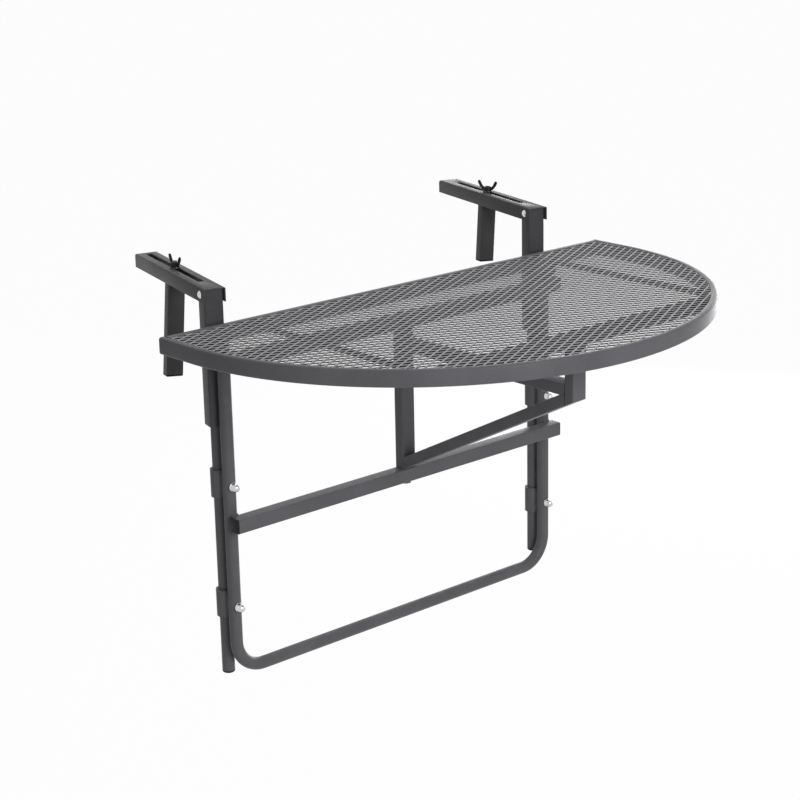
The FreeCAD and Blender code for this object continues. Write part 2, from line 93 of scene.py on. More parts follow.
def selectedCentre(piece):
    places = [vert.co.copy() for vert in bmesh.from_edit_mesh(piece.data).verts if vert.select]
    return tuple(sum(places, Vector()) / len(places))


def edgeRuns(axis):
    def test(edge):
        run = edge.verts[1].co - edge.verts[0].co
        return abs(run[axis]) > edgeShare * run.length
    return test


def faceLooks(axis, sign):
    return lambda face: face.normal[axis] * sign > faceShare


def extrudeBy(step):
    bpy.ops.mesh.extrude_region_move(TRANSFORM_OT_translate={"value": step})


def placePiece(piece, place=(0, 0, 0), turn=(0, 0, 0)):
    piece.location = place
    piece.rotation_euler = turn
    selectOnly(piece)
    bpy.ops.object.transform_apply(location=True, rotation=True, scale=True)


def addBlock(name, corner, opposite):
    selectOnly()
    middle = [(a + b) / 2 for a, b in zip(corner, opposite)]
    size = [abs(b - a) for a, b in zip(corner, opposite)]
    bpy.ops.mesh.primitive_cube_add(size=1, scale=size)
    piece = bpy.context.object
    piece.name = name
    placePiece(piece, middle)
    return piece


def addRing(name, steps, radii, centre=(0, 0, 0), fill="NOTHING"):
    selectOnly()
    bpy.ops.mesh.primitive_circle_add(vertices=steps, radius=1, fill_type=fill)
    piece = bpy.context.object
    piece.name = name
    piece.scale = (*radii, 1)
    placePiece(piece, centre)
    return piece


def roundEdges(piece, test, radius, steps=4):
    openPiece(piece, "EDGE")
    pick(piece, "EDGE", test)
    bpy.ops.mesh.bevel(offset=radius, segments=steps, affect="EDGES")
    closePiece()


def cutOff(piece, point, outward):
    openWhole(piece)
    bpy.ops.mesh.bisect(plane_co=point, plane_no=outward, use_fill=True, clear_outer=True)
    closePiece()


def applyAll(piece):
    selectOnly(piece)
    for modifier in list(piece.modifiers):
        bpy.ops.object.modifier_apply(modifier=modifier.name)


def softenEdges(piece, width=softEdge["width"]):
    bevel = piece.modifiers.new("softEdges", "BEVEL")
    bevel.width = width
    bevel.segments = softEdge["steps"]
    bevel.limit_method = "ANGLE"
    bevel.angle_limit = math.radians(softEdge["angle"])
    applyAll(piece)


def addWall(piece, thickness, offset=-1, even=True):
    wall = piece.modifiers.new("wall", "SOLIDIFY")
    wall.thickness = thickness
    wall.offset = offset
    wall.use_even_offset = even
    applyAll(piece)


def fixNormals(piece):
    openWhole(piece)
    bpy.ops.mesh.remove_doubles(threshold=mergeWithin)
    bpy.ops.mesh.normals_make_consistent(inside=False)
    closePiece()


def fillEnds(piece):
    openPiece(piece, "EDGE")
    pick(piece, "EDGE", lambda edge: edge.is_boundary)
    bpy.ops.mesh.fill_holes(sides=0)
    fixNormals(piece)


def joinPieces(name, pieces):
    selectOnly(pieces[0])
    for piece in pieces[1:]:
        piece.select_set(True)
    bpy.ops.object.join()
    pieces[0].name = name
    return pieces[0]


def finishPiece(piece, body, material, replaced=(), smoothAngle=35):
    selectOnly(piece)
    bpy.ops.object.shade_smooth_by_angle(angle=math.radians(smoothAngle))
    piece.data.materials.clear()
    piece.data.materials.append(material)
    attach(piece, body)
    if replaced:
        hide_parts(*replaced)


# a node whose shape is right is copied, and only its edges are softened
def dressNode(node, body, material, edgeWidth, smoothAngle=35):
    firstWord, *otherWords = node.split("_")
    name = firstWord + "".join(word.title() for word in otherWords)
    piece = bpy.data.objects.new(name, nodes[node].data.copy())
    bpy.context.scene.collection.objects.link(piece)
    openWhole(piece)
    bpy.ops.mesh.remove_doubles(threshold=mergeWithin)
    bpy.ops.mesh.dissolve_limited(angle_limit=math.radians(copyFlat))
    closePiece()
    bpy.ops.mesh.customdata_custom_splitnormals_clear()
    softenEdges(piece, edgeWidth)
    finishPiece(piece, body, material, [node], smoothAngle)


# shader nodes, groups and materials

noiseSpan = (0.3, 0.7)  # the part of a noise's range in which most of it lies


def feedNode(tree, node, inputs):
    for label, source in inputs.items():
        if isinstance(source, bpy.types.NodeSocket):
            tree.links.new(source, node.inputs[label])
        else:
            node.inputs[label].default_value = source


def addNode(tree, kind, inputs, **settings):
    node = tree.nodes.new(kind)
    for label, value in settings.items():
        setattr(node, label, value)
    feedNode(tree, node, inputs)
    return node


def addNoise(tree, coordinates, scale, detail, roughness=0.5):
    inputs = {"Vector": coordinates, "Scale": scale, "Detail": detail, "Roughness": roughness}
    return addNode(tree, "ShaderNodeTexNoise", inputs).outputs["Fac"]


def addRange(tree, value, span, result):
    inputs = {
        "Value": value,
        "From Min": span[0],
        "From Max": span[1],
        "To Min": result[0],
        "To Max": result[1],
    }
    return addNode(tree, "ShaderNodeMapRange", inputs).outputs["Result"]


def addMath(tree, operation, *values):
    return addNode(tree, "ShaderNodeMath", dict(enumerate(values)), operation=operation).outputs[0]


def addMix(tree, factor, first, second):
    inputs = {"Factor": factor, 6: first, 7: second}  # 6 and 7 are its two colours
    return addNode(tree, "ShaderNodeMix", inputs, data_type="RGBA").outputs[2]


def scaleColor(tree, color, factor):
    inputs = {0: color, "Scale": factor}
    return addNode(tree, "ShaderNodeVectorMath", inputs, operation="SCALE").outputs[0]


def newGroup(name, inputs):
    group = bpy.data.node_groups.new(name, "ShaderNodeTree")
    for label, value in inputs.items():
        kind = "NodeSocketColor" if isinstance(value, tuple) else "NodeSocketFloat"
        socket = group.interface.new_socket(name=label, in_out="INPUT", socket_type=kind)
        socket.default_value = value
    for label, kind in (
        ("Color", "NodeSocketColor"),
        ("Roughness", "NodeSocketFloat"),
        ("Height", "NodeSocketFloat"),
    ):
        group.interface.new_socket(name=label, in_out="OUTPUT", socket_type=kind)
    return group, group.nodes.new("NodeGroupInput").outputs, group.nodes.new("NodeGroupOutput")


powder = {
    "patchTone": (0.9, 1.1),
    "speckleScale": 2400,
    "speckleSpan": (0.35, 0.75),
    "speckleTone": (0.93, 1.12),
    "flatSpan": (0.35, 0.8),  # below it a face counts as a side and gets the painted side shade, above it as flat
    "upwardSpan": (0.55, 1.0),  # dust lies only on faces that look up
    "dustScale": 55,
    "dustSpan": (0.42, 0.72),
    "dustCover": (0.15, 1.0),
    "roughness": (0.34, 0.45),
}


def makePowderGroup():
    group, entry, leave = newGroup(
        "powderCoat",
        {
            "Coat Color": (0.1, 0.1, 0.1, 1),
            "Dust Color": (0.3, 0.3, 0.3, 1),
            "Grain Scale": 900,
            "Patch Scale": 12,
            "Dust": 0.3,
            "Side Tone": 1.0,
        },
    )
    place = group.nodes.new("ShaderNodeTexCoord").outputs["Object"]
    grain = addNoise(group, place, entry["Grain Scale"], 2)
    speckle = addNoise(group, place, powder["speckleScale"], 0)
    patch = addNoise(group, place, entry["Patch Scale"], 5, 0.6)
    patchTone = addRange(group, patch, noiseSpan, powder["patchTone"])
    speckleTone = addRange(group, speckle, powder["speckleSpan"], powder["speckleTone"])
    normal = group.nodes.new("ShaderNodeNewGeometry").outputs["Normal"]
    rise = addNode(group, "ShaderNodeSeparateXYZ", {0: normal}).outputs["Z"]
    flatness = addMath(group, "ABSOLUTE", rise)
    # faces that stand near upright are darkened here: painted shade on their sides, set by the
    # material
    paintedSideShade = addRange(group, flatness, powder["flatSpan"], (entry["Side Tone"], 1.0))
    tone = addMath(group, "MULTIPLY", addMath(group, "MULTIPLY", patchTone, speckleTone), paintedSideShade)
    upward = addRange(group, rise, powder["upwardSpan"], (0.0, 1.0))
    settled = addNoise(group, place, powder["dustScale"], 4, 0.65)
    cover = addRange(group, settled, powder["dustSpan"], powder["dustCover"])
    dust = addMath(group, "MULTIPLY", addMath(group, "MULTIPLY", upward, cover), entry["Dust"])
    coated = scaleColor(group, entry["Coat Color"], tone)
    surface = {
        "Color": addMix(group, dust, coated, entry["Dust Color"]),
        "Roughness": addRange(group, patch, noiseSpan, powder["roughness"]),
        "Height": grain,
    }
    feedNode(group, leave, surface)
    return group


scratches = {
    "stretch": (1, 1, 14),
    "cloudScale": 130,
    "cloudTone": (0.88, 1.08),
    "span": (0.35, 0.7),
    "roughness": (0.12, 0.30),
}


def makeScratchGroup():
    group, entry, leave = newGroup(
        "fineScratches", {"Metal Color": (0.7, 0.7, 0.7, 1), "Scratch Scale": 400}
    )
    place = group.nodes.new("ShaderNodeTexCoord").outputs["Object"]
    mapping = {"Vector": place, "Scale": scratches["stretch"]}
    stretched = addNode(group, "ShaderNodeMapping", mapping).outputs[0]
    scratch = addNoise(group, stretched, entry["Scratch Scale"], 3, 0.6)
    cloud = addNoise(group, place, scratches["cloudScale"], 3)
    cloudTone = addRange(group, cloud, noiseSpan, scratches["cloudTone"])
    surface = {
        "Color": scaleColor(group, entry["Metal Color"], cloudTone),
        "Roughness": addRange(group, scratch, scratches["span"], scratches["roughness"]),
        "Height": scratch,
    }
    feedNode(group, leave, surface)
    return group


powderGroup = makePowderGroup()
scratchGroup = makeScratchGroup()


def makeMaterial(name, group, values, shaderValues, bumpStrength, bumpDistance):
    material = bpy.data.materials.new(name)
    material.use_nodes = True
    tree = material.node_tree
    surface = addNode(tree, "ShaderNodeGroup", values, node_tree=group).outputs
    bumpInputs = {"Strength": bumpStrength, "Distance": bumpDistance, "Height": surface["Height"]}
    bump = addNode(tree, "ShaderNodeBump", bumpInputs)
    shader = tree.nodes["Principled BSDF"]
    feedNode(tree, shader, shaderValues)
    feedNode(tree, shader, {"Base Color": surface["Color"], "Roughness": surface["Roughness"]})
    feedNode(tree, shader, {"Normal": bump.outputs["Normal"]})
    return material


coat = {
    "dustColor": (0.30, 0.30, 0.31, 1),
    "patchScale": 12,
    "bumpDistance": 0.0002,
    "shader": {"Metallic": 0.0, "IOR": 1.5, "Specular IOR Level": 0.1},
}
metal = {"bumpDistance": 0.0001, "shader": {"Metallic": 1.0}}


# a side shade below 1 paints shade onto a piece's upright faces
def coatMaterial(name, tone, dust, grain=900, bump=0.35, paintedSideShade=1.0):
    values = {
        "Coat Color": (*tone, 1),
        "Dust Color": coat["dustColor"],
        "Grain Scale": grain,
        "Patch Scale": coat["patchScale"],
        "Dust": dust,
        "Side Tone": paintedSideShade,
    }
    return makeMaterial(name, powderGroup, values, coat["shader"], bump, coat["bumpDistance"])


def metalMaterial(name, tone, scratch, bump=0.1):
    values = {"Metal Color": (*tone, 1), "Scratch Scale": scratch}
    return makeMaterial(name, scratchGroup, values, metal["shader"], bump, metal["bumpDistance"])


anthracite = coatMaterial("anthraciteCoat", (0.122, 0.120, 0.130), 0.30)
# the hooks wear the same anthracite powder coat, set darker here as painted shade
hookCoat = coatMaterial("hookCoat", (0.075, 0.073, 0.077), 0.25)
# the mesh has the same anthracite powder coat; its colour is set far lighter as painted sheen for
# the white studio it mirrors at a low view, and its upright strand sides are darkened nearly to
# black as painted shade
meshCoat = coatMaterial("meshCoat", (0.405, 0.402, 0.418), 0.2, grain=700, paintedSideShade=0.03)
blackPlastic = coatMaterial("blackPlastic", (0.018, 0.018, 0.02), 0.1, grain=1500, bump=0.25)
darkNut = coatMaterial("darkNutCoat", (0.016, 0.016, 0.017), 0.05, grain=1300, bump=0.3)
chrome = metalMaterial("brightChrome", (0.62, 0.62, 0.63), 300)
dullZinc = metalMaterial("dullZincPlate", (0.13, 0.13, 0.135), 500, bump=0.3)
print("materials made")


# tabletop rim: straight sides, then half an ellipse round the front

rim = {
    "halfWidth": 0.5,
    "depth": 0.555,
    "straight": 0.0745,
    "height": 0.028,
    "thickness": 0.012,
    "corner": 0.0042,
    "cornerSteps": 5,
    "sharpAngle": 60,  # degrees from which two faces count as meeting at a corner
    "steps": 256,
    "endPlate": 0.0015,
}
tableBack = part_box("back_rail")[1].y
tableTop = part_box("back_rail")[1].z
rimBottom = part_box("back_rail")[0].z
rimEnd = tableBack - rim["endPlate"]
sideFront = tableBack - rim["straight"]
arcDepth = rim["depth"] - rim["straight"]
innerWidth = rim["halfWidth"] - rim["thickness"]


def insideOutline(x, y, inset):
    if y > tableBack - inset:
        return False
    across = rim["halfWidth"] - inset
    if y > sideFront:
        return abs(x) < across
    return (x / across) ** 2 + ((y - sideFront) / (arcDepth - inset)) ** 2 < 1


# an edge along the rim, where two of its four sides meet
def rimCorner(edge):
    if len(edge.link_faces) != 2 or edge.calc_face_angle(0) < math.radians(rim["sharpAngle"]):
        return False
    if all(vert.co.y > rimEnd - nearby for vert in edge.verts):
        return False
    return abs(edge.verts[0].co.z - edge.verts[1].co.z) < nearby


def makeRimTube():
    tube = addRing("rimTube", rim["steps"], (rim["halfWidth"], arcDepth), (0, sideFront, rimBottom))
    openPiece(tube, "VERT")
    pick(tube, "VERT", lambda vert: vert.co.y > sideFront + nearby)
    bpy.ops.mesh.delete(type="VERT")
    pick(tube, "VERT", lambda vert: vert.co.y > sideFront - nearby)
    extrudeBy((0, rimEnd - sideFront, 0))
    openWhole(tube, "EDGE")
    extrudeBy((0, 0, rim["height"]))
    bpy.ops.mesh.select_all(action="SELECT")
    bpy.ops.mesh.normals_make_consistent(inside=False)
    closePiece()
    addWall(tube, rim["thickness"])
    roundEdges(tube, rimCorner, rim["corner"], rim["cornerSteps"])
    finishPiece(tube, "tabletop", anthracite, ["rim_tube"])


def makeRimEndPlates():
    plates = []
    for side in sides.values():
        inner = (side * innerWidth, rimEnd, rimBottom)
        outer = (side * rim["halfWidth"], tableBack, tableTop)
        plate = addBlock("rimEndPlate", inner, outer)
        roundEdges(plate, edgeRuns(1), rim["corner"], rim["cornerSteps"])
        plates.append(plate)
    joined = joinPieces("rimEndPlates", plates)
    finishPiece(joined, "tabletop", anthracite, ["rim_end_caps"])


makeRimTube()
makeRimEndPlates()
print("rim made")


# bars of the tabletop

tableBars = {"corner": 0.002, "overlap": 0.002, "thinCorner": 0.001}


def makeBackRail():
    rail = addBlock("backRail", *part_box("back_rail"))
    roundEdges(rail, edgeRuns(0), tableBars["corner"])
    finishPiece(rail, "tabletop", anthracite, ["back_rail"])


# the bar's ends are cut along the rim's inside, a little way into the rim
def makeFrontBar():
    low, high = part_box("front_bar")
    bar = addBlock("frontBar", low, high)
    roundEdges(bar, edgeRuns(0), tableBars["corner"])
    for side in sides.values():
        ends = []
        for y in (low.y, high.y):
            share = (y - sideFront) / (arcDepth - rim["thickness"])
            ends.append(Vector((side * innerWidth * math.sqrt(1 - share * share), y, 0)))
        along = ends[1] - ends[0]
        outward = Vector((along.y, -along.x, 0)).normalized() * side
        cutOff(bar, ends[0] + outward * tableBars["overlap"], outward)
    finishPiece(bar, "tabletop", anthracite, ["front_bar"])


makeBackRail()
makeFrontBar()
for sideName in sides:
    thinBar = sideName + "_depth_bar"
    dressNode(thinBar, "tabletop", anthracite, tableBars["thinCorner"])
print("table bars made")


# expanded mesh: one crossing of strands, repeated and cut to the rim

meshSheet = {
    "longPitch": 0.0282,
    "shortPitch": 0.0149,
    "strand": 0.0024,
    "thickness": 0.0016,
    "tilt": 0.0003,  # how far a strand's edges stand above and below its middle
    "underRim": 0.004,
    "middle": -0.0021,
    "core": 0.6,  # share of the crossing's size within which an edge is one of its own
    "spareCells": 3,
    "mergeWithin": 2e-5,
}


def addMeshCell():
    armX = meshSheet["longPitch"] / 4
    armY = meshSheet["shortPitch"] / 4
    slant = math.hypot(armX, armY)
    half = meshSheet["strand"] / 2
    sideNotch = half * slant / armY
    topNotch = half * slant / armX
    cell = addRing("meshCell", 4, (sideNotch, topNotch), fill="NGON")
    for signX in (1, -1):
        for signY in (1, -1):

            def facing(edge, signX=signX, signY=signY):
                middle = (edge.verts[0].co + edge.verts[1].co) / 2
                distance = max(abs(middle.x) / sideNotch, abs(middle.y) / topNotch)
                towards = middle.x * signX > nearby and middle.y * signY > nearby
                return distance < meshSheet["core"] and towards

            openPiece(cell, "EDGE")
            pick(cell, "EDGE", facing)
            extrudeBy((signX * armX, signY * armY, 0))
            cage = bmesh.from_edit_mesh(cell.data)
            for vert in [vert for vert in cage.verts if vert.select]:
                outer = 1 if abs(vert.co.y) > armY + topNotch / 2 else -1
                vert.co.x = signX * (armX - outer * half * armY / slant)
                vert.co.y = signY * (armY + outer * half * armX / slant)
                vert.co.z = meshSheet["tilt"] * outer * signY
            bmesh.update_edit_mesh(cell.data)
            closePiece()
    for sign in (1, -1):
        openPiece(cell, "VERT")
        pick(cell, "VERT", lambda vert: abs(vert.co.x) < nearby and vert.co.y * sign > nearby)
        bpy.ops.transform.translate(value=(0, 0, sign * meshSheet["tilt"]))
    closePiece()
    return cell


def makeMeshSheet():
    longPitch = meshSheet["longPitch"]
    shortPitch = meshSheet["shortPitch"]
    cell = addMeshCell()
    second = cell.copy()
    second.data = cell.data.copy()
    bpy.context.scene.collection.objects.link(second)
    placePiece(second, (longPitch / 2, shortPitch / 2, 0))
    sheet = joinPieces("meshSheet", [cell, second])
    columns = int(2 * rim["halfWidth"] / longPitch) + meshSheet["spareCells"]
    rows = int(rim["depth"] / shortPitch) + meshSheet["spareCells"]
    for count, step in ((columns, (longPitch, 0, 0)), (rows, (0, shortPitch, 0))):
        repeat = sheet.modifiers.new("repeat", "ARRAY")
        repeat.count = count
        repeat.use_relative_offset = False
        repeat.use_constant_offset = True
        repeat.constant_offset_displace = step
    applyAll(sheet)
    start = (-(columns // 2) * longPitch, tableBack - (rows - 1) * shortPitch)
    placePiece(sheet, (*start, tableTop + meshSheet["middle"]))
    openWhole(sheet, "VERT")
    bpy.ops.mesh.remove_doubles(threshold=meshSheet["mergeWithin"])

    def outside(face):
        middle = face.calc_center_median()
        return not insideOutline(middle.x, middle.y, rim["thickness"] - meshSheet["underRim"])

    openPiece(sheet)
    pick(sheet, "FACE", outside)
    bpy.ops.mesh.delete(type="FACE")
    closePiece()
    addWall(sheet, meshSheet["thickness"], offset=0, even=False)
    finishPiece(sheet, "tabletop", meshCoat, ["mesh_sheet"], smoothAngle=30)
    print("mesh made,", len(sheet.data.polygons), "faces")


makeMeshSheet()


# frame tube, bent to a U

frameTube = {
    "radius": 0.011,
    "bend": 0.055,
    "sides": 32,
    "bendSteps": 14,
    "capEdge": 0.0012,
    "boltEdge": 0.0005,
    "pinEdge": 0.0006,
}
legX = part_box("frame_tube")[1].x - frameTube["radius"]


def makeFrameTube():
    low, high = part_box("frame_tube")
    radius = frameTube["radius"]
    bend = frameTube["bend"]
    legY = (low.y + high.y) / 2
    bendHeight = low.z + radius + bend
    straight = high.z - bendHeight
    tube = addRing("frameTube", frameTube["sides"], (radius, radius), (-legX, legY, high.z))
    openWhole(tube, "EDGE")
    extrudeBy((0, 0, -straight))
    for centreX, run in (
        (bend - legX, (2 * (legX - bend), 0, 0)),
        (legX - bend, (0, 0, straight)),
    ):
        bpy.ops.mesh.spin(
            steps=frameTube["bendSteps"],
            angle=math.pi / 2,
            center=(centreX, legY, bendHeight),
            axis=(0, 1, 0),
        )
        extrudeBy(run)
    fillEnds(tube)
    finishPiece(tube, "frame", anthracite, ["frame_tube"])


makeFrameTube()
dressNode("frame_end_caps", "frame", blackPlastic, frameTube["capEdge"])
dressNode("hinge_bolts", "frame", dullZinc, frameTube["boltEdge"])
dressNode("bracket_pivot_pins", "frame", dullZinc, frameTube["pinEdge"])
print("frame tube made")


# crossbars with their end plugs

crossbars = {"corner": 0.0022, "plugCorner": 0.0006}


def makeCrossbars():
    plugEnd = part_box("crossbar_end_caps")[1].x
    plugs = []
    for level in levels:
        node = level + "_crossbar"
        low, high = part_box(node)
        bar = addBlock(level + "Crossbar", low, high)
        roundEdges(bar, edgeRuns(0), crossbars["corner"])
        finishPiece(bar, "frame", anthracite, [node])
        for barEnd, outerEnd in ((low.x, -plugEnd), (high.x, plugEnd)):
            plug = addBlock("crossbarPlug", (barEnd, low.y, low.z), (outerEnd, high.y, high.z))
            roundEdges(plug, edgeRuns(0), crossbars["corner"])
            softenEdges(plug, crossbars["plugCorner"])
            plugs.append(plug)
    joined = joinPieces("crossbarPlugs", plugs)
    finishPiece(joined, "frame", blackPlastic, ["crossbar_end_caps"])


makeCrossbars()
print("crossbars made")


# sleeves, clamp screws and hinge straps

fittings = {"sleeveEdge": 0.0007, "screwEdge": 0.0003, "screwSmooth": 50, "strapEdge": 0.0005}

for sideName in sides:
    for level in levels:
        place = sideName + "_" + level
        dressNode(place + "_sleeve", "frame", anthracite, fittings["sleeveEdge"])
        dressNode(
            place + "_clamp_screw",
            place + "_screw",
            chrome,
            fittings["screwEdge"],
            fittings["screwSmooth"],
        )
    strap = sideName + "_hinge_strap"
    dressNode(strap, "tabletop", anthracite, fittings["strapEdge"])
print("sleeves made")


# bracket

bracket = {
    "corner": 0.0022,
    "slope": 27.2,  # degrees that the strut rises from leg to front
    "section": 0.020,
    "capCorner": 0.0004,
    "bushEdge": 0.0003,
    "spare": 0.02,  # extra length that is cut off again
}
bracketSlope = math.radians(bracket["slope"])


def addBracketBar(node, name, axis):
    bar = addBlock(name, *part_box(node))
    roundEdges(bar, edgeRuns(axis), bracket["corner"])
    return bar


def addStrut(back, front, bottom):
    low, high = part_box("bracket_strut")
    half = bracket["section"] / 2
    run = back - front
    halfLength = run / math.cos(bracketSlope) / 2 + 2 * bracket["spare"]
    strut = addBlock("bracketStrut", (low.x, -halfLength, -half), (high.x, halfLength, half))
    roundEdges(strut, edgeRuns(1), bracket["corner"])
    height = bottom + run / 2 * math.tan(bracketSlope) + half / math.cos(bracketSlope)
    placePiece(strut, (0, (back + front) / 2, height), (-bracketSlope, 0, 0))
    cutOff(strut, (0, back, 0), (0, 1, 0))
    cutOff(strut, (0, front, 0), (0, -1, 0))
    return strut


def addFrontPost(foot):
    low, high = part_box("bracket_front_post")
    post = addBlock("bracketFrontPost", (low.x, low.y, low.z - bracket["spare"]), high)
    roundEdges(post, edgeRuns(2), bracket["corner"])
    downward = (0, -math.sin(bracketSlope), -math.cos(bracketSlope))
    cutOff(post, (0, high.y, foot), downward)
    return post


def makeBracket():
    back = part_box("bracket_leg")[0].y
    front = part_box("bracket_front_post")[1].y
    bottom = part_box("bracket_strut")[0].z
    foot = bottom + (back - front) * math.tan(bracketSlope)
    pieces = {
        "bracket_leg": addBracketBar("bracket_leg", "bracketLeg", 2),
        "bracket_top_bar": addBracketBar("bracket_top_bar", "bracketTopBar", 1),
        "bracket_strut": addStrut(back, front, bottom),
        "bracket_front_post": addFrontPost(foot),
        "bracket_rest_cap": addBracketBar("bracket_rest_cap", "bracketRestCap", 2),
    }
    softenEdges(pieces["bracket_rest_cap"], bracket["capCorner"])
    for node, piece in pieces.items():
        finishPiece(piece, "bracket", anthracite, [node])


makeBracket()
dressNode("bracket_bushes", "bracket", blackPlastic, bracket["bushEdge"])
print("bracket made")


# weld beads, each a rippled line from a start to an end

weld = {
    "radius": 0.0021,
    "sides": 10,
    "step": 0.0011,
    "leastSteps": 4,
    "tip": 0.5,  # share of the radius at a bead's ends
    "valley": 0.84,  # and between its ripples
    "sleeveMargin": 0.004,
    "sleeveHalf": 0.006,
    "sleeveProud": 0.0002,
    "legHalf": 0.007,
    "legInset": 0.001,
    "legProud": 0.0004,
}


def addBead(start, end):
    along = Vector(end) - Vector(start)
    steps = max(weld["leastSteps"], 2 * round(along.length / weld["step"] / 2))
    ripples = [1 if step % 2 else weld["valley"] for step in range(1, steps)]
    sizes = [weld["tip"], *ripples, weld["tip"]]
    tipRadius = weld["radius"] * weld["tip"]
    bead = addRing("weldBead", weld["sides"], (tipRadius, tipRadius))
    openWhole(bead, "EDGE")
    for before, after in zip(sizes, sizes[1:]):
        extrudeBy((0, 0, along.length / steps))
        bpy.ops.transform.resize(value=(after / before, after / before, 1))
    fillEnds(bead)
    placePiece(bead, start, along.to_track_quat("Z", "Y").to_euler())
    return bead


def acrossLine(centreX, halfLength, y, z):
    return (centreX - halfLength, y, z), (centreX + halfLength, y, z)


# under and over each crossbar on the legs, and down both sides of each sleeve
def frameWeldLines():
    lines = []
    for side in sides.values():
        for level in levels:
            low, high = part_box(level + "_crossbar")
            centreX = side * (legX - weld["legInset"])
            for z in (low.z, high.z):
                lines.append(acrossLine(centreX, weld["legHalf"], high.y + weld["legProud"], z))
    for sideName, side in sides.items():
        for level in levels:
            low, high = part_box(sideName + "_" + level + "_sleeve")
            y = low.y - weld["sleeveProud"]
            for offset in (-weld["sleeveHalf"], weld["sleeveHalf"]):
                x = side * legX + offset
                bottom = (x, y, low.z + weld["sleeveMargin"])
                top = (x, y, high.z - weld["sleeveMargin"])
                lines.append((bottom, top))
    return lines


# across the corners between the bracket's tubes
def bracketWeldLines():
    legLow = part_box("bracket_leg")[0]
    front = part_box("bracket_front_post")[1].y
    barLow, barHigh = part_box("bracket_top_bar")
    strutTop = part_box("bracket_strut")[0].z + bracket["section"] / math.cos(bracketSlope)
    places = (
        (legLow.y, barLow.z),
        (legLow.y, barHigh.z),
        (legLow.y, strutTop),
        (front, barLow.z),
        (front, barHigh.z),
    )
    return [acrossLine(0, -legLow.x - weld["legInset"], y, z) for y, z in places]


for body, lines in (("frame", frameWeldLines()), ("bracket", bracketWeldLines())):
    beads = joinPieces(body + "Welds", [addBead(start, end) for start, end in lines])
    finishPiece(beads, body, anthracite, smoothAngle=60)
print("welds made")


# hooks, built straight and then turned to their place

hook = {
    "swivel": 14.0,  # degrees, clockwise seen from above
    "postWidth": 0.033,
    "postDepth": 0.028,
    "postLength": 0.210,
    "postCorner": 0.003,
    "postWall": 0.002,
    "footRecess": 0.0004,  # how far up the post's open foot is closed
    "armLength": {"left": 0.318, "right": 0.347},
    "armHeight": 0.024,
    "armWidth": 0.0376,
    "armWall": 0.002,
    "armCorner": 0.0026,
    "armRearCorner": 0.006,
    "armRearSteps": 6,
    "armOverhang": 0.0055,
    "slotWidth": 0.0105,
    "slotStart": 0.042,
    "slotEnd": 0.277,
    "slotSides": 32,
    "cutterDepth": 0.02,
    "jawWidth": 0.030,
    "jawDepth": 0.020,
    "jawCorner": 0.0025,
    "plug": 0.003,
    "plugEdge": 0.0008,
    "tubeSteps": 5,
    "topGap": 0.0003,  # left above the jaw, under its washer and under the nut
    "washer": 0.0016,
    "copyEdge": 0.0003,
    "copySmooth": 45,
    "seat": {"left": -0.0234, "right": 0.0},  # height of the arm's underside
    "jawLength": {"left": 0.162, "right": 0.110},
    "jawReach": {"left": 0.154, "right": 0.167},  # behind the hook tube's axis
    "jawLean": {"left": 4.5, "right": 3.5},  # degrees
    "nutTurn": {"left": 5.0, "right": 28.0},  # degrees
}
underTop = hook["armHeight"] - hook["armWall"]


def addHookPost(name):
    half = hook["postWidth"] / 2
    deep = hook["postDepth"] / 2
    post = addBlock(name, (-half, -deep, -hook["postLength"]), (half, deep, underTop))
    roundEdges(post, edgeRuns(2), hook["postCorner"], hook["tubeSteps"])
    openPiece(post)
    pick(post, "FACE", faceLooks(2, -1))
    bpy.ops.mesh.inset(thickness=hook["postWall"])
    extrudeBy((0, 0, hook["footRecess"]))
    closePiece()
    return post


def cutSlot(arm):
    selectOnly()
    bpy.ops.mesh.primitive_cylinder_add(
        vertices=hook["slotSides"],
        radius=hook["slotWidth"] / 2,
        depth=hook["cutterDepth"],
        location=(0, hook["slotStart"], hook["armHeight"]),
    )
    cutter = bpy.context.object
    bpy.ops.object.transform_apply(location=True, rotation=True, scale=True)
    openPiece(cutter, "VERT")
    pick(cutter, "VERT", lambda vert: vert.co.y > hook["slotStart"] + nearby)
    bpy.ops.transform.translate(value=(0, hook["slotEnd"] - hook["slotStart"], 0))
    closePiece()
    slot = arm.modifiers.new("slot", "BOOLEAN")
    slot.object = cutter
    slot.operation = "DIFFERENCE"
    slot.solver = "EXACT"
    applyAll(arm)
    bpy.data.objects.remove(cutter)


# a channel that is open below and at its front end
def addHookArm(name, length):
    half = hook["armWidth"] / 2
    top = hook["armHeight"]
    front = -hook["postDepth"] / 2 - hook["armOverhang"]
    rear = front + length
    arm = addBlock(name, (-half, front, 0), (half, rear, top))

    def topEdge(edge):
        return edgeRuns(1)(edge) and all(vert.co.z > top - nearby for vert in edge.verts)

    def rearTopEdge(edge):
        return all(vert.co.z > top - nearby and vert.co.y > rear - nearby for vert in edge.verts)

    def openSide(face):
        return faceLooks(2, -1)(face) or faceLooks(1, -1)(face)

    roundEdges(arm, rearTopEdge, hook["armRearCorner"], hook["armRearSteps"])
    roundEdges(arm, topEdge, hook["armCorner"])
    openPiece(arm)
    pick(arm, "FACE", openSide)
    bpy.ops.mesh.delete(type="FACE")
    closePiece()
    addWall(arm, hook["armWall"])
    cutSlot(arm)
    fixNormals(arm)
    softenEdges(arm)
    return arm


